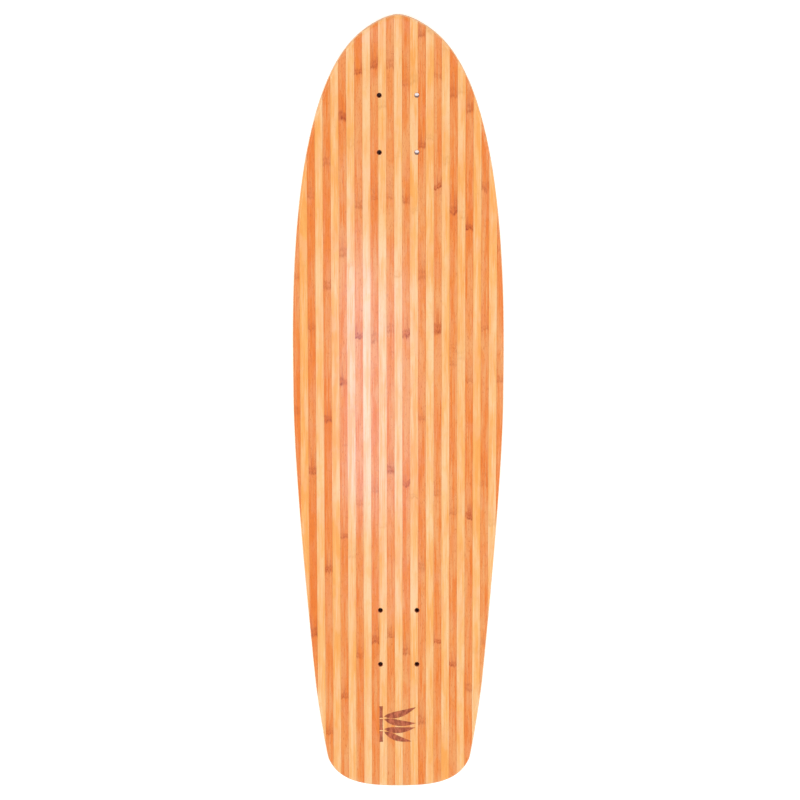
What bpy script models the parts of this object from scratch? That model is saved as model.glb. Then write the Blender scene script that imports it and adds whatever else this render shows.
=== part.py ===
"""Pressed bamboo skateboard deck, bare and drilled for two trucks.

A riding face of narrow strips, natural and carbonised by turns, lies over two crossbands, a core
and an underside sheet. The deck lies as it would on a table, riding face up: nose towards +Y,
+X to its right, and z = 0 where the underside's two truck pads touch the table.
"""
import math

import bmesh
import bpy
from mathutils import Vector

# Driving dimensions, in metres. "From the nose" is measured along the deck from the nose's tip.
LENGTH = 0.884
WIDTH = 0.234

STRIP_PITCH = 0.00873
STRIPS_EACH_SIDE = 13
GLUE_GAP = 0.0003

FACE_THICKNESS = 0.0018
CROSSBAND_THICKNESS = 0.0022
CORE_THICKNESS = 0.0028
UNDERSIDE_THICKNESS = 0.0018

BOLT_ROW_SPACING = 0.0635
BOLT_SIDE_SPACING = 0.04128
BOLT_HOLE_RADIUS = 0.0025
FIRST_BOLT_ROW = 0.089
WHEELBASE = 0.524
PAD_MARGIN = 0.010

NOSE_LIFT = 0.003
TAIL_LIFT = 0.004
CAMBER = 0.003
CAMBER_RAMP = 0.066

# Steps that each stretch of the deck is bent in, and points on each stretch of the outline.
NOSE_STEPS = 4
RAMP_STEPS = 2
CROWN_STEPS = 6
TAIL_STEPS = 4
OUTLINE_STEPS = (7, 11, 6, 4, 13)
HOLE_SIDES = 16
# A point this near to a cutting line counts as on it, in metres.
ON_THE_LINE = 2e-5

# The outline's knots, joined by Bezier curves: from the nose, half width, heading in degrees
# away from straight back, and the lengths of the handles before and after the knot.
OUTLINE_KNOTS = (
    (0.0, 0.0, 90.0, 0.0, 0.0094),
    (0.022, 0.0434, 48.5, 0.0215, 0.1095),
    (0.4265, WIDTH / 2, 0.0, 0.0675, 0.099),
    (0.754, 0.095, -4.6, 0.006, 0.0238),
    (0.852, 0.080, -22.8, 0.005, 0.0315),
    (LENGTH, 0.0, -90.0, 0.0357, 0.0),
)

# Where the flat truck pads begin and end, from the nose.
FRONT_PAD = (FIRST_BOLT_ROW - PAD_MARGIN, FIRST_BOLT_ROW + BOLT_ROW_SPACING + PAD_MARGIN)
REAR_PAD = tuple(end + BOLT_ROW_SPACING + WHEELBASE for end in FRONT_PAD)

# Base colour and roughness of each kind of bamboo.
NATURAL = ("natural_bamboo", (1.0, 0.55, 0.23), 0.30)
CARBONISED = ("carbonised_bamboo", (0.86, 0.31, 0.10), 0.30)
CROSSBAND = ("crossband_bamboo", (0.80, 0.50, 0.24), 0.55)
CORE = ("core_bamboo", (0.62, 0.30, 0.12), 0.55)

# The sheets under the striped face, from the top one down.
PLIES = (
    ("upper_crossband", CROSSBAND_THICKNESS, CROSSBAND),
    ("core_ply", CORE_THICKNESS, CORE),
    ("lower_crossband", CROSSBAND_THICKNESS, CROSSBAND),
    ("underside_sheet", UNDERSIDE_THICKNESS, NATURAL),
)
DECK_THICKNESS = FACE_THICKNESS + sum(ply[1] + GLUE_GAP for ply in PLIES)


def clear_scene():
    for leftover in list(bpy.data.objects):
        bpy.data.objects.remove(leftover)


def bamboo(kind):
    """The material of one kind of bamboo, made once and then shared."""
    name, colour, roughness = kind
    found = bpy.data.materials.get(name)
    if found:
        return found
    material = bpy.data.materials.new(name)
    material.use_nodes = True
    shader = material.node_tree.nodes["Principled BSDF"]
    shader.inputs["Base Color"].default_value = (*colour, 1.0)
    shader.inputs["Roughness"].default_value = roughness
    shader.inputs["Metallic"].default_value = 0.0
    return material


# --- the mould: how high the pressed deck stands at each place -------------------------------


def steps(start, end, count):
    """Evenly spaced places after the start, up to and including the end."""
    return [start + (end - start) * step / count for step in range(1, count + 1)]


def crown(from_pad, span):
    """Camber between the pads: a round crown with a hollow ramp up to it at each end."""
    from_nearest_pad = min(from_pad, span - from_pad)
    steepest = 4 * CAMBER / span
    if from_nearest_pad < CAMBER_RAMP:
        return steepest * from_nearest_pad ** 2 / (2 * CAMBER_RAMP)
    from_middle = span / 2 - from_nearest_pad
    return CAMBER - steepest * from_middle ** 2 / (span - 2 * CAMBER_RAMP)


def rise(from_nose):
    """Height over the truck pads, along the deck's middle."""
    if from_nose < FRONT_PAD[0]:
        return NOSE_LIFT * (1 - from_nose / FRONT_PAD[0]) ** 2
    if FRONT_PAD[1] < from_nose < REAR_PAD[0]:
        return crown(from_nose - FRONT_PAD[1], REAR_PAD[0] - FRONT_PAD[1])
    if from_nose > REAR_PAD[1]:
        return TAIL_LIFT * ((from_nose - REAR_PAD[1]) / (LENGTH - REAR_PAD[1])) ** 2
    return 0.0


def stations():
    """Places along the deck, from the nose, where the sheets are folded."""
    crown_start = FRONT_PAD[1] + CAMBER_RAMP
    crown_end = REAR_PAD[0] - CAMBER_RAMP
    places = [0.0]
    places += steps(0.0, FRONT_PAD[0], NOSE_STEPS) + [FRONT_PAD[1]]
    places += steps(FRONT_PAD[1], crown_start, RAMP_STEPS)
    places += steps(crown_start, crown_end, CROWN_STEPS)
    places += steps(crown_end, REAR_PAD[0], RAMP_STEPS) + [REAR_PAD[1]]
    places += steps(REAR_PAD[1], LENGTH, TAIL_STEPS)
    return places


def folded_rise(from_nose):
    """The rise taken straight from the last station before a place to the first one after it."""
    places = stations()
    for low, high in zip(places, places[1:]):
        if from_nose <= high:
            break
    share = (from_nose - low) / (high - low)
    return rise(low) * (1 - share) + rise(high) * share


# --- flat plans -------------------------------------------------------------------------------


def half_outline():
    """Points down one side of the deck, nose to tail, as (from the nose, half width)."""
    points = [Vector(OUTLINE_KNOTS[0][:2])]
    for knot, following, count in zip(OUTLINE_KNOTS, OUTLINE_KNOTS[1:], OUTLINE_STEPS):
        start = Vector(knot[:2])
        end = Vector(following[:2])
        leaving = math.radians(knot[2])
        arriving = math.radians(following[2])
        first = start + knot[4] * Vector((math.cos(leaving), math.sin(leaving)))
        second = end - following[3] * Vector((math.cos(arriving), math.sin(arriving)))
        for share in steps(0.0, 1.0, count):
            rest = 1 - share
            points.append(rest ** 3 * start + 3 * rest ** 2 * share * first
                          + 3 * rest * share ** 2 * second + share ** 3 * end)
    return points


def outline():
    """The deck's whole plan, counterclockwise from the nose's tip, as (x, y)."""
    half = half_outline()
    left = [(-width, LENGTH / 2 - from_nose) for from_nose, width in half]
    right = [(-x, y) for x, y in reversed(left[1:-1])]
    return left + right


def cut(plan, place, normal, drop_outside=False):
    """Score the plan along a line, or drop what lies beyond it."""
    everything = plan.verts[:] + plan.edges[:] + plan.faces[:]
    bmesh.ops.bisect_plane(plan, geom=everything, dist=ON_THE_LINE, plane_co=place, plane_no=normal,
                           clear_outer=drop_outside)


def flat_plan(x_from, x_to):
    """The outline between two lines along the deck, scored at every station."""
    plan = bmesh.new()
    plan.faces.new([plan.verts.new((x, y, 0.0)) for x, y in outline()])
    cut(plan, (x_from, 0, 0), (-1, 0, 0), drop_outside=True)
    cut(plan, (x_to, 0, 0), (1, 0, 0), drop_outside=True)
    for from_nose in stations()[1:-1]:
        cut(plan, (0, LENGTH / 2 - from_nose, 0), (0, 1, 0))
    return plan


# --- sheets and strips ------------------------------------------------------------------------


def pressed_sheet(name, top, thickness, kind, x_from=-WIDTH, x_to=WIDTH):
    """One closed sheet of the laminate, its upper side at a height over the table at the pads."""
    plan = flat_plan(x_from, x_to)
    body = bmesh.new()
    upper = {}
    lower = {}
    for corner in plan.verts:
        x, y, _ = corner.co
        height = top + folded_rise(LENGTH / 2 - y)
        upper[corner] = body.verts.new((x, y, height))
        lower[corner] = body.verts.new((x, y, height - thickness))
    for cell in plan.faces:
        body.faces.new([upper[corner] for corner in cell.verts])
        body.faces.new([lower[corner] for corner in reversed(cell.verts)])
        for side in cell.loops:
            if side.edge.is_boundary:
                here = side.vert
                there = side.link_loop_next.vert
                body.faces.new((lower[here], lower[there], upper[there], upper[here]))
    plan.free()
    mesh = bpy.data.meshes.new(name)
    body.to_mesh(mesh)
    body.free()
    mesh.materials.append(bamboo(kind))
    sheet = bpy.data.objects.new(name, mesh)
    bpy.context.collection.objects.link(sheet)
    return sheet


def strip_name(number):
    if number == 0:
        return "face_strip_middle"
    side = "left" if number < 0 else "right"
    return f"face_strip_{side}_{abs(number):02d}"


def striped_face(top):
    """The riding face, glued up from strips by number from the middle one, which is natural."""
    strips = {}
    for number in range(-STRIPS_EACH_SIDE, STRIPS_EACH_SIDE + 1):
        middle = number * STRIP_PITCH
        half = (STRIP_PITCH - GLUE_GAP) / 2
        kind = CARBONISED if number % 2 else NATURAL
        strips[number] = pressed_sheet(strip_name(number), top, FACE_THICKNESS, kind,
                                       middle - half, middle + half)
    return strips


def plies(top):
    """The whole-width sheets under the face, from the top one down."""
    sheets = []
    for name, thickness, kind in PLIES:
        sheets.append(pressed_sheet(name, top, thickness, kind))
        top -= thickness + GLUE_GAP
    return sheets


# --- bolt holes -------------------------------------------------------------------------------


def drill():
    """Eight rods, one through each bolt hole. It only cuts, and isn't part of the deck."""
    rods = bmesh.new()
    depth = 4 * DECK_THICKNESS
    for row in (0.0, BOLT_ROW_SPACING, BOLT_ROW_SPACING + WHEELBASE, 2 * BOLT_ROW_SPACING + WHEELBASE):
        for side in (-1, 1):
            made = bmesh.ops.create_cone(rods, cap_ends=True, segments=HOLE_SIDES, depth=depth,
                                         radius1=BOLT_HOLE_RADIUS, radius2=BOLT_HOLE_RADIUS)
            place = (side * BOLT_SIDE_SPACING / 2, LENGTH / 2 - FIRST_BOLT_ROW - row, 0.0)
            bmesh.ops.translate(rods, verts=made["verts"], vec=place)
    mesh = bpy.data.meshes.new("drill")
    rods.to_mesh(mesh)
    rods.free()
    tool = bpy.data.objects.new("drill", mesh)
    bpy.context.collection.objects.link(tool)
    tool.hide_render = True
    tool.display_type = "WIRE"
    return tool


def drilled(piece, tool):
    holes = piece.modifiers.new("bolt_holes", "BOOLEAN")
    holes.operation = "DIFFERENCE"
    holes.solver = "EXACT"
    holes.object = tool


def strips_with_holes(strips):
    """The strips that a bolt hole cuts into, on either side of the middle."""
    inner = BOLT_SIDE_SPACING / 2 - BOLT_HOLE_RADIUS
    outer = BOLT_SIDE_SPACING / 2 + BOLT_HOLE_RADIUS
    first = round(inner / STRIP_PITCH)
    last = round(outer / STRIP_PITCH)
    return [strips[side * number] for side in (-1, 1) for number in range(first, last + 1)]


def build():
    clear_scene()
    tool = drill()
    strips = striped_face(DECK_THICKNESS)
    sheets = plies(DECK_THICKNESS - FACE_THICKNESS - GLUE_GAP)
    for piece in strips_with_holes(strips) + sheets:
        drilled(piece, tool)


build()
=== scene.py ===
"""How the pressed bamboo skateboard deck looks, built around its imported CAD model.

Each ply and strip is made again at full detail from the same outline and mould as the CAD. It is
cut out flat, with its rounded rim, bolt holes and burned mark, and is then bent to the mould.
"""
import math
import random

import bmesh
import bpy
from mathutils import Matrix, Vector


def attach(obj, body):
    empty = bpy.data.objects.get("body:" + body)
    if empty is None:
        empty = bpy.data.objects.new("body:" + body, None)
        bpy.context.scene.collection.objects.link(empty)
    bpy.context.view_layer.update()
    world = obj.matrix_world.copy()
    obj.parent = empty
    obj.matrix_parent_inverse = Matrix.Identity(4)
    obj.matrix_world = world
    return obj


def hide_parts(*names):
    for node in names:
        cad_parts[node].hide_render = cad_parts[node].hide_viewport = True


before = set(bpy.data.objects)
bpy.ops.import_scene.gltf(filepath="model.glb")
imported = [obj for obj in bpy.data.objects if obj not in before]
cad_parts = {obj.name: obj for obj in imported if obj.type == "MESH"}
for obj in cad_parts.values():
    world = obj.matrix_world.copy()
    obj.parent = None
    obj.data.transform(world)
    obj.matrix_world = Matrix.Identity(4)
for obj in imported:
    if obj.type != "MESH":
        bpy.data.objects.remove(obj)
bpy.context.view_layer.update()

# --- the deck's dimensions, in metres, the same as in the CAD ----------------------------------

LENGTH = 0.884
WIDTH = 0.234
DECK_THICKNESS = 0.012
STRIP_PITCH = 0.00873
STRIPS_EACH_SIDE = 13

BOLT_ROW_SPACING = 0.0635
BOLT_SIDE_SPACING = 0.04128
BOLT_HOLE_RADIUS = 0.0025
FIRST_BOLT_ROW = 0.089
WHEELBASE = 0.524
PAD_MARGIN = 0.010

NOSE_LIFT = 0.003
TAIL_LIFT = 0.004
CAMBER = 0.003
CAMBER_RAMP = 0.066

# The outline's knots, joined by Bezier curves: from the nose, half width, heading in degrees
# away from straight back, and the lengths of the handles before and after the knot.
OUTLINE_KNOTS = (
    (0.0, 0.0, 90.0, 0.0, 0.0094),
    (0.022, 0.0434, 48.5, 0.0215, 0.1095),
    (0.4265, WIDTH / 2, 0.0, 0.0675, 0.099),
    (0.754, 0.095, -4.6, 0.006, 0.0238),
    (0.852, 0.080, -22.8, 0.005, 0.0315),
    (LENGTH, 0.0, -90.0, 0.0357, 0.0),
)
OUTLINE_STEPS = (16, 44, 26, 12, 32)

FRONT_PAD = (FIRST_BOLT_ROW - PAD_MARGIN, FIRST_BOLT_ROW + BOLT_ROW_SPACING + PAD_MARGIN)
REAR_PAD = tuple(end + BOLT_ROW_SPACING + WHEELBASE for end in FRONT_PAD)

# --- detail that only the visual model has -----------------------------------------------------

ROUNDOVER = 0.004
RIM_STEP_DEGREES = 7.0
RIM_SUPPORT = 0.0006
STATION_STEP = 0.0085
HAIRLINE = 0.00004
HOLE_SIDES = 48
HOLE_CHAMFER = 0.0004
DRILL_BEYOND = 0.002
SHARP_ANGLE = math.radians(40)
SAME_PLACE = 1e-5
# The normals of the riding face and the underside have a z over this, and those of a bolt hole's
# sides and chamfer have one under it.
FLAT_FACE_NORMAL = 0.9

# The CAD node that each ply replaces, and how deep the ply starts and ends under the riding face.
PLIES = (
    ("upper_crossband", 0.00195, 0.00445),
    ("core_ply", 0.00445, 0.00755),
    ("lower_crossband", 0.00755, 0.01005),
    ("underside_sheet", 0.01005, DECK_THICKNESS),
)
FACE_DEPTH = PLIES[0][1]

MARK_DEPTH = 0.00025
MARK_CENTRE = Vector((-0.002, -0.3685))
MARK_REACH = 0.030

# The mark's shapes, in millimetres from its centre: the stalk's joints by length, from the lowest,
# and the leaves by root, length, width, and heading in degrees.
MILLIMETRE = 0.001
STALK_X = -18.0
STALK_FOOT = -21.0
STALK_WIDTH = 3.8
STALK_GAP = 1.2
STALK_JOINTS = (12.6, 13.2, 13.8)
LEAVES = (
    (-14.6, 8.8, 38.0, 7.8, 17.0),
    (-14.6, 5.4, 36.5, 7.4, -7.0),
    (-14.6, -6.0, 35.5, 7.2, 3.0),
    (-14.6, -9.2, 33.0, 6.8, -20.0),
)
LEAF_STEPS = 14
LEAF_BOW = 0.06
# How wide a joint of the stalk is along its length, as shares of its length and its width.
STALK_FLARE = ((0.0, 1.12), (0.07, 1.06), (0.2, 0.92), (0.5, 0.86), (0.8, 0.92), (0.93, 1.06),
               (1.0, 1.12))


# --- outline and mould -------------------------------------------------------------------------


def half_outline():
    """Points down one side, nose to tail: from the nose, half width, and the outward normal."""
    points = []
    for knot, following, count in zip(OUTLINE_KNOTS, OUTLINE_KNOTS[1:], OUTLINE_STEPS):
        start = Vector(knot[:2])
        end = Vector(following[:2])
        leaving = math.radians(knot[2])
        arriving = math.radians(following[2])
        first = start + knot[4] * Vector((math.cos(leaving), math.sin(leaving)))
        second = end - following[3] * Vector((math.cos(arriving), math.sin(arriving)))
        for step in range(1 if points else 0, count + 1):
            share = step / count
            rest = 1 - share
            place = (rest ** 3 * start + 3 * rest ** 2 * share * first
                     + 3 * rest * share ** 2 * second + share ** 3 * end)
            along = (rest ** 2 * (first - start) + 2 * rest * share * (second - first)
                     + share ** 2 * (end - second)).normalized()
            points.append((place, Vector((-along.y, along.x))))
    return points


HALF_OUTLINE = half_outline()


def outline(inset):
    """The deck's plan drawn in by an inset, counterclockwise from the nose's tip, as (x, y)."""
    half = [place - inset * outward for place, outward in HALF_OUTLINE]
    left = [(-width, LENGTH / 2 - from_nose) for from_nose, width in half]
    right = [(-x, y) for x, y in reversed(left[1:-1])]
    return left + right


def crown(from_pad, span):
    """Camber between the pads: a round crown with a hollow ramp up to it at each end."""
    from_nearest_pad = min(from_pad, span - from_pad)
    steepest = 4 * CAMBER / span
    if from_nearest_pad < CAMBER_RAMP:
        return steepest * from_nearest_pad ** 2 / (2 * CAMBER_RAMP)
    from_middle = span / 2 - from_nearest_pad
    return CAMBER - steepest * from_middle ** 2 / (span - 2 * CAMBER_RAMP)


def rise(from_nose):
    """Height over the truck pads, along the deck's middle."""
    if from_nose < FRONT_PAD[0]:
        return NOSE_LIFT * (1 - from_nose / FRONT_PAD[0]) ** 2
    if FRONT_PAD[1] < from_nose < REAR_PAD[0]:
        return crown(from_nose - FRONT_PAD[1], REAR_PAD[0] - FRONT_PAD[1])
    if from_nose > REAR_PAD[1]:
        return TAIL_LIFT * ((from_nose - REAR_PAD[1]) / (LENGTH - REAR_PAD[1])) ** 2
    return 0.0


# --- flat solids -------------------------------------------------------------------------------


def rim_inset(depth):
    """How far the rounded rim stands in from the outline, at a depth under the riding face."""
    into = max(ROUNDOVER - min(depth, DECK_THICKNESS - depth), 0.0)
    return ROUNDOVER - math.sqrt(max(ROUNDOVER ** 2 - into ** 2, 0.0))


def ring_levels(top, bottom):
    """(depth, inset) of each ring of points round a ply, from its upper side to its lower."""
    depths = {top, bottom}
    for step in range(1, int(90 / RIM_STEP_DEGREES)):
        into = ROUNDOVER * (1 - math.sin(math.radians(step * RIM_STEP_DEGREES)))
        depths.update((into, DECK_THICKNESS - into))
    rings = [(depth, rim_inset(depth)) for depth in sorted(depths) if top <= depth <= bottom]
    if top == 0.0:
        rings.insert(0, (top, ROUNDOVER + RIM_SUPPORT))
    if bottom == DECK_THICKNESS:
        rings.append((bottom, ROUNDOVER + RIM_SUPPORT))
    return rings


def flat_ply(top, bottom):
    """A closed flat solid of the whole outline between two depths; z is minus the depth."""
    body = bmesh.new()
    rings = [[body.verts.new((x, y, -depth)) for x, y in outline(inset)]
             for depth, inset in ring_levels(top, bottom)]
    for above, below in zip(rings, rings[1:]):
        for here in range(len(above)):
            there = (here + 1) % len(above)
            body.faces.new((above[here], below[here], below[there], above[there]))
    body.faces.new(rings[0])
    body.faces.new(rings[-1][::-1])
    return body


def score(body, place, normal):
    """Adds a line of edges round the solid, where a plane crosses it."""
    bmesh.ops.bisect_plane(body, geom=body.verts[:] + body.edges[:] + body.faces[:],
                           dist=SAME_PLACE, plane_co=place, plane_no=normal)


def slice_off(body, x, side):
    """Cuts the solid at x, drops what lies on that side and closes the cut."""
    cut = bmesh.ops.bisect_plane(body, geom=body.verts[:] + body.edges[:] + body.faces[:],
                                 dist=SAME_PLACE, plane_co=(x, 0, 0), plane_no=(side, 0, 0),
                                 clear_outer=True)
    open_edges = [item for item in cut["geom_cut"]
                  if isinstance(item, bmesh.types.BMEdge) and item.is_boundary]
    if open_edges:
        bmesh.ops.edgeloop_fill(body, edges=open_edges)


def score_stations(body):
    """Scores the solid across at even steps, so that it can bend along the deck."""
    count = round(LENGTH / STATION_STEP)
    for step in range(1, count):
        score(body, (0, LENGTH / 2 - LENGTH * step / count, 0), (0, 1, 0))


def strip_lines():
    """The lines between the strips, from the left edge to the right."""
    count = 2 * STRIPS_EACH_SIDE + 1
    return [(index - count / 2) * STRIP_PITCH for index in range(count + 1)]


def as_object(name, body):
    """Puts a finished bmesh into the scene as an object."""
    bmesh.ops.recalc_face_normals(body, faces=body.faces[:])
    mesh = bpy.data.meshes.new(name)
    body.to_mesh(mesh)
    body.free()
    made = bpy.data.objects.new(name, mesh)
    bpy.context.scene.collection.objects.link(made)
    return made


def carve(piece, tool):
    """Takes the tool's shape out of the piece, for good."""
    cutter = piece.modifiers.new("carve", "BOOLEAN")
    cutter.operation = "DIFFERENCE"
    cutter.solver = "EXACT"
    cutter.object = tool
    graph = bpy.context.evaluated_depsgraph_get()
    carved = bpy.data.meshes.new_from_object(piece.evaluated_get(graph), depsgraph=graph)
    piece.modifiers.remove(cutter)
    uncut = piece.data
    piece.data = carved
    bpy.data.meshes.remove(uncut)


# --- cutting tools -----------------------------------------------------------------------------


def turned(body, x, y, profile):
    """A closed turned rod at x, y, from a profile of (radius, z) upwards."""
    rings = []
    for radius, z in profile:
        ring = []
        for step in range(HOLE_SIDES):
            angle = 2 * math.pi * step / HOLE_SIDES
            ring.append(body.verts.new((x + radius * math.cos(angle),
                                        y + radius * math.sin(angle), z)))
        rings.append(ring)
    for below, above in zip(rings, rings[1:]):
        for here in range(HOLE_SIDES):
            there = (here + 1) % HOLE_SIDES
            body.faces.new((below[here], below[there], above[there], above[here]))
    body.faces.new(rings[0][::-1])
    body.faces.new(rings[-1])


def bolt_centres():
    """The middles of the eight bolt holes, from the front row to the rear."""
    rows = (0.0, BOLT_ROW_SPACING, BOLT_ROW_SPACING + WHEELBASE, 2 * BOLT_ROW_SPACING + WHEELBASE)
    return [Vector((side * BOLT_SIDE_SPACING / 2, LENGTH / 2 - FIRST_BOLT_ROW - row))
            for row in rows for side in (-1, 1)]


def bolt_drill():
    """Eight drills that leave a small chamfer where they enter and leave."""
    widest = BOLT_HOLE_RADIUS + HOLE_CHAMFER + DRILL_BEYOND
    profile = ((widest, -DECK_THICKNESS - DRILL_BEYOND),
               (BOLT_HOLE_RADIUS, -DECK_THICKNESS + HOLE_CHAMFER),
               (BOLT_HOLE_RADIUS, -HOLE_CHAMFER),
               (widest, DRILL_BEYOND))
    body = bmesh.new()
    for centre in bolt_centres():
        turned(body, centre.x, centre.y, profile)
    return as_object("bolt_drill", body)


def leaf(root, length, width, degrees):
    """A slender pointed leaf as a flat polygon, bowed, and fullest at two fifths of its length."""
    along = Vector((math.cos(math.radians(degrees)), math.sin(math.radians(degrees))))
    across = Vector((-along.y, along.x))
    sides = {1: [], -1: []}
    for step in range(LEAF_STEPS + 1):
        share = step / LEAF_STEPS
        half = width / 2 * math.sin(math.pi * share ** 0.75) ** 0.9 if 0 < share < 1 else 0.0
        bow = LEAF_BOW * length * math.sin(math.pi * share)
        for side in sides:
            sides[side].append(root + along * length * share + across * (side * half - bow))
    return sides[-1] + sides[1][-2:0:-1]


def culm(foot, length, width):
    """One joint of an upright bamboo stalk: a bar that flares a little at both ends."""
    along = Vector((0.0, 1.0))
    across = Vector((-1.0, 0.0))
    right = []
    left = []
    for share, wide in STALK_FLARE:
        right.append(foot + along * length * share - across * width / 2 * wide)
        left.append(foot + along * length * share + across * width / 2 * wide)
    return right + left[::-1]


def mark_polygons():
    """A plain sprig of bamboo: a jointed stalk and four leaves, about 42 mm each way."""
    shapes = []
    foot = STALK_FOOT
    for length in STALK_JOINTS:
        start = Vector((STALK_X, foot)) * MILLIMETRE
        shapes.append(culm(start, length * MILLIMETRE, STALK_WIDTH * MILLIMETRE))
        foot += length + STALK_GAP
    for x, y, length, width, degrees in LEAVES:
        root = Vector((x, y)) * MILLIMETRE
        shapes.append(leaf(root, length * MILLIMETRE, width * MILLIMETRE, degrees))
    return shapes


def mark_iron():
    """The branding iron: each of the mark's shapes as an upright prism."""
    body = bmesh.new()
    for shape in mark_polygons():
        low = [body.verts.new((*(MARK_CENTRE + corner), -MARK_DEPTH)) for corner in shape]
        high = [body.verts.new((*(MARK_CENTRE + corner), DECK_THICKNESS)) for corner in shape]
        for here in range(len(shape)):
            there = (here + 1) % len(shape)
            body.faces.new((low[here], low[there], high[there], high[here]))
        body.faces.new(low[::-1])
        body.faces.new(high)
    return as_object("mark_iron", body)


# --- materials ---------------------------------------------------------------------------------

# A strip's first two knuckles are a little more than this spacing apart, and each gap after it is
# wider by twice the growth.
KNUCKLE_SPACING = 0.133
KNUCKLE_GROWTH = 0.008
SLAT_PITCH = 0.0205
# More strips than lie on either side, which keeps the count of strips above zero.
MANY_STRIPS = 200

# A knuckle's shape, in metres from its middle towards the tail: between which distances its body
# fades out, where the flames on its nose side rise and fall, and the place and half width of each
# of its two dark lines.
KNUCKLE_BODY = (0.0018, 0.0064)
FLAMES_RISE = (-0.026, -0.0035)
FLAMES_FALL = (-0.0030, 0.0)
FIRST_DARK_LINE = (-0.0026, 0.0024)
SECOND_DARK_LINE = (0.0022, 0.0026)

# Burned bamboo: the burned mark's real colour, and also painted shade on the sides of the bolt
# holes.
BURN_AND_SHADE_DARK = (0.190, 0.034, 0.020)
BURN_AND_SHADE_PALE = (0.440, 0.110, 0.055)
CROSSBAND_DEEP = (0.50, 0.24, 0.095)
CROSSBAND_PALE = (0.72, 0.42, 0.19)
CORE_DEEP = (0.34, 0.13, 0.045)
CORE_PALE = (0.52, 0.23, 0.085)
RELIEF = 0.0003
PLY_COAT = 0.3
COAT_ROUGHNESS = 0.07
COAT_IOR = 1.5
SPECULAR_LEVEL = 0.1


class Graph:
    """A material's node tree. Each call adds a node and returns its output socket."""

    def __init__(self, name):
        self.material = bpy.data.materials.new(name)
        self.material.use_nodes = True
        self.tree = self.material.node_tree
        self.shader = self.tree.nodes["Principled BSDF"]

    def node(self, kind, inputs, **settings):
        made = self.tree.nodes.new(kind)
        for setting, value in settings.items():
            setattr(made, setting, value)
        for key, value in inputs.items():
            self.feed(made.inputs[key], value)
        return made

    def feed(self, socket, value):
        if isinstance(value, bpy.types.NodeSocket):
            self.tree.links.new(value, socket)
        elif socket.type == "RGBA":
            socket.default_value = (*value, 1.0)
        else:
            socket.default_value = value

    def attribute(self, name):
        return self.node("ShaderNodeAttribute", {}, attribute_name=name)

    def split(self, vector):
        return self.node("ShaderNodeSeparateXYZ", {0: vector}).outputs

    def math(self, operation, first, second=0.0):
        return self.node("ShaderNodeMath", {0: first, 1: second}, operation=operation).outputs[0]

    def add(self, *terms):
        total = terms[0]
        for term in terms[1:]:
            total = self.math("ADD", total, term)
        return total

    def times(self, *factors):
        total = factors[0]
        for factor in factors[1:]:
            total = self.math("MULTIPLY", total, factor)
        return total

    def fade(self, value, low, high, start=0.0, end=1.0):
        """Smooth change from start to end as the value goes from low to high."""
        inputs = {0: value, 1: low, 2: high, 3: start, 4: end}
        return self.node("ShaderNodeMapRange", inputs, interpolation_type="SMOOTHSTEP").outputs[0]

    def spread(self, value, middle, gain):
        """(value - middle) * gain."""
        return self.times(self.math("SUBTRACT", value, middle), gain)

    def blend(self, share, first, second):
        """The first colour where the share is 0, and the second where it is 1."""
        inputs = {0: share, 6: first, 7: second}
        return self.node("ShaderNodeMix", inputs, data_type="RGBA").outputs[2]

    def noise(self, place, size, detail=2.0, roughness=0.5):
        """Noise whose features are size = (x, y, z) metres, in the place's coordinates."""
        scaled = self.node("ShaderNodeVectorMath",
                           {0: place, 1: tuple(1 / length for length in size)},
                           operation="MULTIPLY").outputs[0]
        inputs = {"Vector": scaled, "Scale": 1.0, "Detail": detail, "Roughness": roughness}
        return self.node("ShaderNodeTexNoise", inputs).outputs[0]

    def roll(self, x, y, z):
        """One random number for a point, and then three more."""
        pick = self.node("ShaderNodeCombineXYZ", {0: x, 1: y, 2: z}).outputs[0]
        made = self.node("ShaderNodeTexWhiteNoise", {"Vector": pick}, noise_dimensions="3D")
        return made.outputs["Value"], self.split(made.outputs["Color"])

    def shifted(self, place, x, y, z):
        offset = self.node("ShaderNodeCombineXYZ", {0: x, 1: y, 2: z}).outputs[0]
        return self.node("ShaderNodeVectorMath", {0: place, 1: offset}, operation="ADD").outputs[0]

    def bump(self, height, strength):
        inputs = {"Height": height, "Distance": RELIEF, "Strength": strength}
        return self.node("ShaderNodeBump", inputs).outputs[0]


def along_grain(width, length):
    """Feature sizes of a streak that runs the deck's length."""
    return (width, length, width)


def across_grain(width, length):
    """Feature sizes of a streak that runs the deck's width."""
    return (length, width, width)


def nearest_knuckle(graph, y, phase, place, seed):
    """How far each point lies past its strip's nearest knuckle, towards the tail, in metres, and
    that knuckle's random strength, size and lean. Knuckles stand further apart towards the tail."""
    from_first = graph.math("SUBTRACT", graph.math("SUBTRACT", LENGTH / 2, y), phase)
    under_root = graph.add(graph.times(from_first, 4 * KNUCKLE_GROWTH), KNUCKLE_SPACING ** 2)
    spacing = graph.math("SQRT", graph.math("MAXIMUM", under_root, 0.0))
    number = graph.times(graph.math("SUBTRACT", spacing, KNUCKLE_SPACING), 1 / (2 * KNUCKLE_GROWTH))
    nearest = graph.math("ROUND", number)
    shift, traits = graph.roll(nearest, seed, 0.5)
    wobble = graph.noise(place, along_grain(0.0040, 0.02), detail=3.0)
    away = graph.add(graph.times(graph.math("SUBTRACT", number, nearest), spacing),
                     graph.spread(wobble, 0.5, 0.012), graph.spread(shift, 0.5, 0.022))
    return away, traits


def line_at(graph, value, place, width):
    """1 where the value is at the place, fading to 0 a width to either side."""
    aside = graph.math("ABSOLUTE", graph.math("SUBTRACT", value, place))
    return graph.fade(aside, 0.0, width, 1.0, 0.0)


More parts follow.
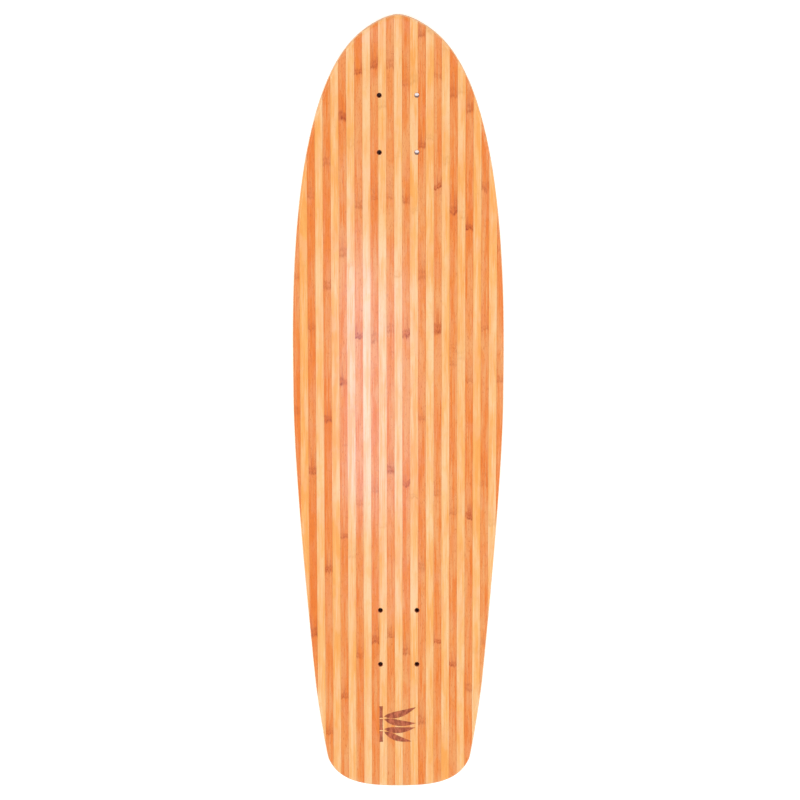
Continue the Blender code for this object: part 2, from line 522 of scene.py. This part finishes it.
def paint_knuckles(graph, colour, look, y, phase, place, seed, from_line, streaks):
    """Adds a strip's knuckles to its colour: a soft body, flames on its nose side and a core of two
    dark lines. Returns the new colour, and how strongly each point is marked."""
    away, (strength, size, lean) = nearest_knuckle(graph, y, phase, place, seed)
    strength = graph.fade(graph.math("POWER", strength, 1.5), 0.0, 1.0,
                          look["knuckle_low"], look["knuckle_high"])
    away = graph.times(away, graph.fade(size, 0.0, 1.0, 0.75, 1.45))
    # A knuckle may be strong on one side of its strip and faint on the other.
    side = graph.add(0.5, graph.times(from_line, graph.spread(lean, 0.5, 2.4)),
                     graph.spread(streaks, 0.5, 0.8))
    strength = graph.times(strength, graph.fade(side, -0.1, 0.6, 0.45, 1.0))
    flecks = graph.fade(graph.noise(place, along_grain(0.0013, 0.0055), roughness=0.6), 0.34, 0.64)
    body = graph.times(graph.fade(graph.math("ABSOLUTE", away), *KNUCKLE_BODY, 1.0, 0.0),
                       graph.add(0.5, graph.times(flecks, 0.5)))
    flames = graph.times(graph.fade(away, *FLAMES_RISE), graph.fade(away, *FLAMES_FALL, 1.0, 0.0),
                         graph.fade(streaks, 0.47, 0.58), 0.85)
    body = graph.times(graph.math("MAXIMUM", body, flames), strength)
    core = graph.math("MAXIMUM", graph.times(line_at(graph, away, *FIRST_DARK_LINE), 0.5),
                      line_at(graph, away, *SECOND_DARK_LINE))
    core = graph.times(core, graph.fade(streaks, 0.34, 0.58, 0.25, 1.0),
                       graph.fade(flecks, 0.0, 1.0, 0.45, 1.0), strength)
    colour = graph.blend(body, colour, look["knuckle"])
    colour = graph.blend(graph.times(core, look["core_share"]), colour, look["knuckle_dark"])
    return colour, graph.math("MAXIMUM", body, core)


def lacquered(graph, colour, roughness, bump, coat):
    """Finishes a material with a clear lacquer, which lies smooth over the bamboo's relief."""
    shader = graph.shader.inputs
    graph.feed(shader["Base Color"], colour)
    graph.feed(shader["Roughness"], roughness)
    graph.feed(shader["Normal"], bump)
    shader["Coat Weight"].default_value = coat
    shader["Coat Roughness"].default_value = COAT_ROUGHNESS
    shader["Coat IOR"].default_value = COAT_IOR
    shader["Specular IOR Level"].default_value = SPECULAR_LEVEL
    return graph.material


def bamboo_colour(graph, look, tone, place, x, y, phase, seed, pitch):
    """The colour, roughness and relief of bamboo strips of a pitch that run the deck's length."""
    fibres = graph.noise(place, along_grain(0.0004, 0.022), detail=3.0, roughness=0.6)
    streaks = graph.noise(place, along_grain(0.0017, 0.085), detail=3.0, roughness=0.55)
    clouds = graph.noise(place, along_grain(0.008, 0.055), detail=3.0)
    hues = graph.noise(graph.shifted(place, 5.0, 2.0, 1.0), along_grain(0.015, 0.11))
    dashes = graph.noise(place, along_grain(0.0006, 0.0042), roughness=0.6)

    light = graph.add(0.5, graph.times(tone, look["tone"]),
                      graph.spread(fibres, 0.5, look["fibres"]),
                      graph.spread(streaks, 0.5, look["streaks"]),
                      graph.spread(clouds, 0.5, look["clouds"]),
                      graph.spread(hues, 0.5, look["hues"]))
    colour = graph.blend(graph.fade(light, 0.0, 1.0), look["deep"], look["pale"])
    pink = graph.noise(graph.shifted(place, 9.0, 4.0, 2.0), along_grain(0.010, 0.030), detail=3.0)
    pink = graph.times(graph.fade(pink, 0.48, 0.66), look["pink_share"])
    colour = graph.blend(pink, colour, look["pink"])
    warm = graph.noise(graph.shifted(place, 3.0, 7.0, 6.0), along_grain(0.007, 0.026), detail=3.0)
    warm = graph.times(graph.fade(warm, 0.50, 0.66), look["warm_share"])
    colour = graph.blend(warm, colour, look["warm"])
    dash = graph.fade(dashes, 0.56, 0.70)
    colour = graph.blend(graph.times(dash, look["dash_share"]), colour, look["dash"])

    # How far each point is from its strip's middle line, in strip widths.
    share = graph.math("FRACT", graph.add(graph.times(x, 1 / pitch), MANY_STRIPS + 0.5))
    from_line = graph.math("SUBTRACT", share, 0.5)
    colour, knuckle = paint_knuckles(graph, colour, look, y, phase, place, seed, from_line, streaks)
    glue = graph.fade(graph.math("ABSOLUTE", from_line), 0.47, 0.498)
    colour = graph.blend(graph.times(glue, 0.45), colour, look["glue"])
    roughness = graph.add(look["roughness"], graph.spread(fibres, 0.5, 0.25))
    relief = graph.add(graph.times(fibres, 0.6), graph.times(streaks, 0.8),
                       graph.times(knuckle, 0.8))
    return colour, roughness, relief


def charred_and_hole_shaded(graph, colour, burn_and_hole_shade, grain):
    """Blends in a dark burned colour where the burn attribute is 1: the real burn of the mark, and
    painted shade on the sides and chamfers of the bolt holes.
    """
    char = graph.noise(grain, along_grain(0.0035, 0.009), detail=4.0, roughness=0.65)
    burned_and_hole_shaded = graph.blend(graph.fade(char, 0.36, 0.66), BURN_AND_SHADE_DARK, BURN_AND_SHADE_PALE)
    return graph.blend(graph.times(burn_and_hole_shade, 0.93), colour, burned_and_hole_shaded)


def seeded(graph, grain, seed):
    """The grain's coordinates, moved to a strip's own part of the noise."""
    return graph.shifted(grain, graph.times(seed, 0.37), graph.times(seed, 1.93),
                         graph.times(seed, 0.11))


def strip_bamboo(name, look):
    """Lacquered bamboo for the riding face's strips, each with its own seed, tone and knuckles."""
    graph = Graph(name)
    grain = graph.attribute("grain").outputs["Vector"]
    burn_and_hole_shade = graph.attribute("burn_and_hole_shade").outputs["Fac"]
    phase, tone, seed = graph.split(graph.attribute("strip").outputs["Vector"])
    place = seeded(graph, grain, seed)
    x, y, _ = graph.split(grain)
    colour, roughness, relief = bamboo_colour(graph, look, tone, place, x, y, phase, seed,
                                              STRIP_PITCH)
    # The burn colour is the mark's real burn, and painted shade on the bolt holes' sides.
    colour = charred_and_hole_shaded(graph, colour, burn_and_hole_shade, grain)
    roughness = graph.add(roughness, graph.times(burn_and_hole_shade, 0.2))
    return lacquered(graph, colour, roughness, graph.bump(relief, 0.35), look["coat"])


def slatted_bamboo(name, look):
    """Lacquered bamboo for the underside, which is pressed from wide slats with faint seams."""
    graph = Graph(name)
    grain = graph.attribute("grain").outputs["Vector"]
    burn_and_hole_shade = graph.attribute("burn_and_hole_shade").outputs["Fac"]
    x, y, _ = graph.split(grain)
    number = graph.math("FLOOR", graph.add(graph.times(x, 1 / SLAT_PITCH), 0.5))
    seed, (toss, _, start) = graph.roll(number, 0.0, 7.5)
    place = seeded(graph, grain, seed)
    phase = graph.times(start, KNUCKLE_SPACING)
    tone = graph.spread(toss, 0.5, 2.4)
    colour, roughness, relief = bamboo_colour(graph, look, tone, place, x, y, phase, seed,
                                              SLAT_PITCH)
    colour = charred_and_hole_shaded(graph, colour, burn_and_hole_shade, grain)
    return lacquered(graph, colour, roughness, graph.bump(relief, 0.35), look["coat"])


NATURAL_LOOK = {
    "deep": (0.690, 0.290, 0.070), "pale": (0.700, 0.446, 0.228),
    "warm": (0.700, 0.345, 0.095), "warm_share": 0.50,
    "pink": (0.700, 0.388, 0.205), "pink_share": 0.42,
    "dash": (0.620, 0.265, 0.080), "dash_share": 0.40,
    "tone": 0.16, "fibres": 1.6, "streaks": 1.8, "clouds": 1.4, "hues": 1.6,
    "knuckle": (0.600, 0.275, 0.075), "knuckle_dark": (0.430, 0.150, 0.036), "core_share": 0.8,
    "knuckle_low": 0.0, "knuckle_high": 0.5,
    "glue": (0.460, 0.190, 0.055), "roughness": 0.36, "coat": 0.42,
}
CARBONISED_LOOK = {
    "deep": (0.614, 0.155, 0.026), "pale": (0.634, 0.280, 0.102),
    "warm": (0.634, 0.184, 0.031), "warm_share": 0.50,
    "pink": (0.626, 0.232, 0.095), "pink_share": 0.38,
    "dash": (0.440, 0.100, 0.026), "dash_share": 0.62,
    "tone": 0.16, "fibres": 1.9, "streaks": 2.0, "clouds": 1.4, "hues": 1.5,
    "knuckle": (0.440, 0.092, 0.024), "knuckle_dark": (0.270, 0.040, 0.014), "core_share": 0.95,
    "knuckle_low": 0.32, "knuckle_high": 1.05,
    "glue": (0.350, 0.090, 0.020), "roughness": 0.40, "coat": 0.23,
}
UNDERSIDE_LOOK = dict(NATURAL_LOOK, tone=0.22, knuckle_low=0.35, knuckle_high=1.0)


def ply_bamboo(name, flow, deep, pale):
    """Bamboo sheet seen only at the deck's rim and in the bolt holes."""
    graph = Graph(name)
    grain = graph.attribute("grain").outputs["Vector"]
    fibres = graph.noise(grain, flow(0.00035, 0.018), detail=3.0, roughness=0.6)
    streaks = graph.noise(grain, flow(0.0016, 0.05), detail=3.0, roughness=0.55)
    clouds = graph.noise(grain, flow(0.012, 0.06))
    pores = graph.fade(graph.noise(grain, flow(0.0006, 0.012)), 0.56, 0.66)
    light = graph.add(0.5, graph.spread(fibres, 0.5, 1.4), graph.spread(streaks, 0.5, 1.6),
                      graph.spread(clouds, 0.5, 1.2))
    colour = graph.blend(graph.fade(light, 0.0, 1.0), deep, pale)
    dark = tuple(0.45 * part for part in deep)
    colour = graph.blend(graph.times(pores, 0.6), colour, dark)
    # Here the burn colour is painted shade on the bolt holes' sides and chamfers.
    colour = charred_and_hole_shaded(graph, colour, graph.attribute("burn_and_hole_shade").outputs["Fac"], grain)
    roughness = graph.add(0.45, graph.spread(fibres, 0.5, 0.3))
    relief = graph.add(fibres, streaks)
    return lacquered(graph, colour, roughness, graph.bump(relief, 0.4), PLY_COAT)


# --- pieces ------------------------------------------------------------------------------------


def in_mark(place):
    """Whether a face with this middle is part of the burned mark's floor or its sides."""
    beside = place.xy - MARK_CENTRE
    return (-1.2 * MARK_DEPTH < place.z < -0.2 * MARK_DEPTH
            and max(abs(beside.x), abs(beside.y)) < MARK_REACH)


def in_bolt_hole(place, normal):
    """Whether a face with this middle and normal is part of a bolt hole's side or its chamfer."""
    nearest = min((place.xy - centre).length for centre in bolt_centres())
    return nearest < BOLT_HOLE_RADIUS + HOLE_CHAMFER and abs(normal.z) < FLAT_FACE_NORMAL


def finish_mesh(piece, strip=(0.0, 0.0, 0.0)):
    """Bends a flat piece to the mould, and keeps its unbent place as the texture's coordinates."""
    mesh = piece.data
    for name in [attribute.name for attribute in mesh.attributes]:
        if name.startswith("sharp"):
            mesh.attributes.remove(mesh.attributes[name])
    flat = [vertex.co.copy() for vertex in mesh.vertices]
    grain = mesh.attributes.new("grain", "FLOAT_VECTOR", "POINT")
    grain.data.foreach_set("vector", [part for x, y, z in flat for part in (x, y, -z)])
    constant = mesh.attributes.new("strip", "FLOAT_VECTOR", "POINT")
    constant.data.foreach_set("vector", [part for _ in flat for part in strip])
    # The burned mark gets its real burn, and the bolt holes' sides and chamfers get the same dark
    # colour as painted shade.
    burned_and_hole_shaded = []
    for face in mesh.polygons:
        middle = sum((flat[index] for index in face.vertices), Vector()) / len(face.vertices)
        burned_and_hole_shaded.append(1.0 if in_mark(middle) or in_bolt_hole(middle, face.normal) else 0.0)
    burn_and_hole_shade = mesh.attributes.new("burn_and_hole_shade", "FLOAT", "FACE")
    burn_and_hole_shade.data.foreach_set("value", burned_and_hole_shaded)
    for vertex, (x, y, z) in zip(mesh.vertices, flat):
        vertex.co.z = DECK_THICKNESS + z + rise(LENGTH / 2 - y)
    mesh.shade_smooth()
    mesh.set_sharp_from_angle(angle=SHARP_ANGLE)


def place_piece(piece, material, node):
    """Gives a piece its material, puts it under the root body, and hides the CAD node that it
    stands for.
    """
    piece.data.materials.clear()
    piece.data.materials.append(material)
    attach(piece, "root")
    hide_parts(node)


def strip_name(number):
    if number == 0:
        return "strip_middle"
    side = "left" if number < 0 else "right"
    return f"strip_{side}_{abs(number):02d}"


# Where each carbonised strip's first knuckle stands, in millimetres from the nose.
KNUCKLE_PHASES = {-13: 140, -11: 52, -9: 163, -7: 120, -5: 70, -3: 61, -1: 50,
                  1: 65, 3: 148, 5: 60, 7: 85, 9: 105, 11: 50, 13: 110}
# Strips that are paler (above 0) or deeper (below 0) than the rest of their kind.
STRIP_TONES = {-13: -1.5, -12: -2.2, -11: -1.5, -10: 0.2, -9: -0.4, -8: -1.0, -4: 0.7, -2: 0.5,
               -1: 0.8, 0: 0.7, 1: 0.7, 5: 0.8, 8: -0.4, 10: -1.2, 11: 0.3, 12: -0.3}
# The strips that the bolt holes and the burned mark reach, by number on either side.
FIRST_DRILLED_STRIP = 2
LAST_DRILLED_STRIP = 3
LAST_MARKED_STRIP = 3


def make_strips(drill, iron):
    """The riding face's strips, natural and carbonised by turns, from the left to the right."""
    kinds = (("natural_bamboo", strip_bamboo("natural_strip", NATURAL_LOOK)),
             ("carbonised_bamboo", strip_bamboo("carbonised_strip", CARBONISED_LOOK)))
    rolls = random.Random(5)
    ply = flat_ply(0.0, FACE_DEPTH)
    lines = strip_lines()
    for number in range(-STRIPS_EACH_SIDE, STRIPS_EACH_SIDE + 1):
        index = number + STRIPS_EACH_SIDE
        body = ply.copy()
        slice_off(body, lines[index + 1] - HAIRLINE / 2, 1)
        slice_off(body, lines[index] + HAIRLINE / 2, -1)
        score_stations(body)
        piece = as_object(strip_name(number), body)
        if FIRST_DRILLED_STRIP <= abs(number) <= LAST_DRILLED_STRIP:
            carve(piece, drill)
        if abs(number) <= LAST_MARKED_STRIP:
            carve(piece, iron)
        seed = rolls.random()
        phase = KNUCKLE_PHASES.get(number, rolls.uniform(40, 170)) / 1000
        tone = STRIP_TONES.get(number, 0.0) + rolls.uniform(-0.12, 0.12)
        finish_mesh(piece, (phase, tone, seed))
        slot, material = kinds[number % 2]
        place_piece(piece, material, "face_" + strip_name(number))
    ply.free()


def make_plies(drill):
    """The four sheets under the riding face."""
    crossband = ply_bamboo("crossband_edge", across_grain, CROSSBAND_DEEP, CROSSBAND_PALE)
    core = ply_bamboo("core_edge", along_grain, CORE_DEEP, CORE_PALE)
    underside = slatted_bamboo("underside_bamboo", UNDERSIDE_LOOK)
    looks = {"upper_crossband": (crossband, "crossband_bamboo"), "core_ply": (core, "core_bamboo"),
             "lower_crossband": (crossband, "crossband_bamboo"),
             "underside_sheet": (underside, "natural_bamboo")}
    for node, top, bottom in PLIES:
        body = flat_ply(top + HAIRLINE, bottom)
        score_stations(body)
        piece = as_object("visual_" + node, body)
        carve(piece, drill)
        finish_mesh(piece)
        place_piece(piece, looks[node][0], node)


def make_deck():
    drill = bolt_drill()
    iron = mark_iron()
    make_strips(drill, iron)
    make_plies(drill)
    for tool in (drill, iron):
        bpy.data.objects.remove(tool)


# --- studio ------------------------------------------------------------------------------------

FLOOR_HALF = 6.0
FLOOR_GAP = 0.0002
# Emission strengths of the floor around the deck and under the two front bolt holes on the right,
# and the middle and reach of the glow under those holes, from the deck's centre.
GLOW_AROUND = 0.22
GLOW_UNDER_HOLES = 0.8
GLOW_MIDDLE = (BOLT_SIDE_SPACING / 2, 0.321)
GLOW_REACH = (0.016, 0.120)


def make_floor():
    """A pale floor under the deck. It glows a little around the deck, as a lit table does, and a
    patch of painted light under the two front bolt holes on the right shows white through them."""
    corners = ((-1, -1), (1, -1), (1, 1), (-1, 1))
    body = bmesh.new()
    body.faces.new([body.verts.new((x * FLOOR_HALF, y * FLOOR_HALF, -FLOOR_GAP))
                    for x, y in corners])
    floor = as_object("studio_floor", body)
    graph = Graph("studio_paper")
    place = graph.node("ShaderNodeTexCoord", {}).outputs["Object"]
    mottle = graph.noise(place, (0.4, 0.4, 0.4))
    paper = graph.blend(mottle, (0.93, 0.93, 0.93), (0.95, 0.95, 0.95))
    graph.feed(graph.shader.inputs["Base Color"], paper)
    graph.shader.inputs["Roughness"].default_value = 0.9
    graph.shader.inputs["Specular IOR Level"].default_value = 0.0
    graph.shader.inputs["Emission Color"].default_value = (1.0, 1.0, 1.0, 1.0)
    x, y, _ = graph.split(place)
    beside = graph.fade(graph.math("ABSOLUTE", x), 0.05, 0.07)
    beyond = graph.fade(graph.math("ABSOLUTE", y), 0.37, 0.41)
    around = graph.times(graph.math("MAXIMUM", beside, beyond), GLOW_AROUND)
    # A patch of painted light under the two front bolt holes on the right, which shows white
    # through them.
    under_holes = graph.times(line_at(graph, x, GLOW_MIDDLE[0], GLOW_REACH[0]),
                              line_at(graph, y, GLOW_MIDDLE[1], GLOW_REACH[1]))
    under_holes = graph.times(graph.fade(under_holes, 0.2, 0.4), GLOW_UNDER_HOLES)
    glow = graph.add(around, under_holes)
    graph.feed(graph.shader.inputs["Emission Strength"], glow)
    floor.data.materials.append(graph.material)


def softbox(name, place, aim, width, length, radiance):
    """A rectangular area light of an even radiance. Its length lies along the deck's, and it is
    turned about its length to face its aim."""
    light = bpy.data.lights.new(name, "AREA")
    light.shape = "RECTANGLE"
    light.size = width
    light.size_y = length
    light.energy = radiance * math.pi * width * length
    lamp = bpy.data.objects.new(name, light)
    lamp.location = place
    aside = Vector(aim) - Vector(place)
    lamp.rotation_euler = (0.0, -math.atan2(aside.x, -aside.z), 0.0)
    lamp.visible_camera = False
    bpy.context.scene.collection.objects.link(lamp)
    return lamp


# The softbox on either side: how far aside, how high, its width, length and radiance.
SIDE_DISTANCE = 1.7
SIDE_HEIGHT = 2.6
SIDE_WIDTH = 1.2
SIDE_LENGTH = 2.6
SIDE_RADIANCE = 4.2

# The long soft box whose reflection lies along the deck. It is brighter on its left, and fades at
# its ends. Its columns: side, x and y of the middle, width, radiance. Its rows: end, offset in y,
# length, share of the column's radiance. Only glossy surfaces see it.
SHINE_HEIGHT = 2.0
SHINE_TINT = (0.42, 0.59, 1.0)
SHINE_COLUMNS = (("left", -0.065, -0.445, 0.046, 19.0), ("right", -0.009, -0.485, 0.066, 9.2))
SHINE_ROWS = (("nose", 0.305, 0.09, 0.5), ("middle", 0.0, 0.52, 1.0), ("tail", -0.305, 0.09, 0.5))

# The sky's strength changes between these heights of a direction, from low down to overhead.
SKY_HEIGHTS = (0.70, 0.92)
SKY_STRENGTHS = (1.15, 0.22)


def make_studio():
    """A soft white sky that is dim overhead, a softbox on either side, and the long soft box."""
    world = bpy.data.worlds.new("studio_world")
    world.use_nodes = True
    tree = world.node_tree
    direction = tree.nodes.new("ShaderNodeTexCoord")
    height = tree.nodes.new("ShaderNodeSeparateXYZ")
    dimmer = tree.nodes.new("ShaderNodeMapRange")
    dimmer.interpolation_type = "SMOOTHSTEP"
    for socket, value in zip(dimmer.inputs[1:5], SKY_HEIGHTS + SKY_STRENGTHS):
        socket.default_value = value
    tree.links.new(direction.outputs["Generated"], height.inputs[0])
    tree.links.new(height.outputs["Z"], dimmer.inputs[0])
    tree.links.new(dimmer.outputs[0], tree.nodes["Background"].inputs["Strength"])
    tree.nodes["Background"].inputs["Color"].default_value = (1.0, 1.0, 1.0, 1.0)
    bpy.context.scene.world = world
    for side, name in ((-1, "left_softbox"), (1, "right_softbox")):
        softbox(name, (side * SIDE_DISTANCE, 0.0, SIDE_HEIGHT), (0.0, 0.0, 0.0),
                SIDE_WIDTH, SIDE_LENGTH, SIDE_RADIANCE)
    for side, x, y, width, radiance in SHINE_COLUMNS:
        for end, offset, length, share in SHINE_ROWS:
            above = (x, y + offset, SHINE_HEIGHT)
            below = (x, y + offset, 0.0)
            shine = softbox(f"shine_{side}_{end}", above, below, width, length, share * radiance)
            shine.visible_diffuse = False
            shine.data.color = SHINE_TINT


CAMERA_SENSOR = 36.0
CAMERA_LENS = 194.2
CAMERA_PLACE = (0.0018, 1.1465, 4.683)
CAMERA_TILT = (-13.68, -0.017, -0.070)


def make_camera():
    """The photograph's view: high over the nose's end, looking a little towards the tail."""
    view = bpy.data.cameras.new("camera")
    view.sensor_width = CAMERA_SENSOR
    view.lens = CAMERA_LENS
    camera = bpy.data.objects.new("camera", view)
    camera.location = CAMERA_PLACE
    camera.rotation_euler = [math.radians(degrees) for degrees in CAMERA_TILT]
    bpy.context.scene.collection.objects.link(camera)
    bpy.context.scene.camera = camera


make_deck()
make_floor()
make_studio()
make_camera()
bpy.context.scene.view_settings.view_transform = "Standard"
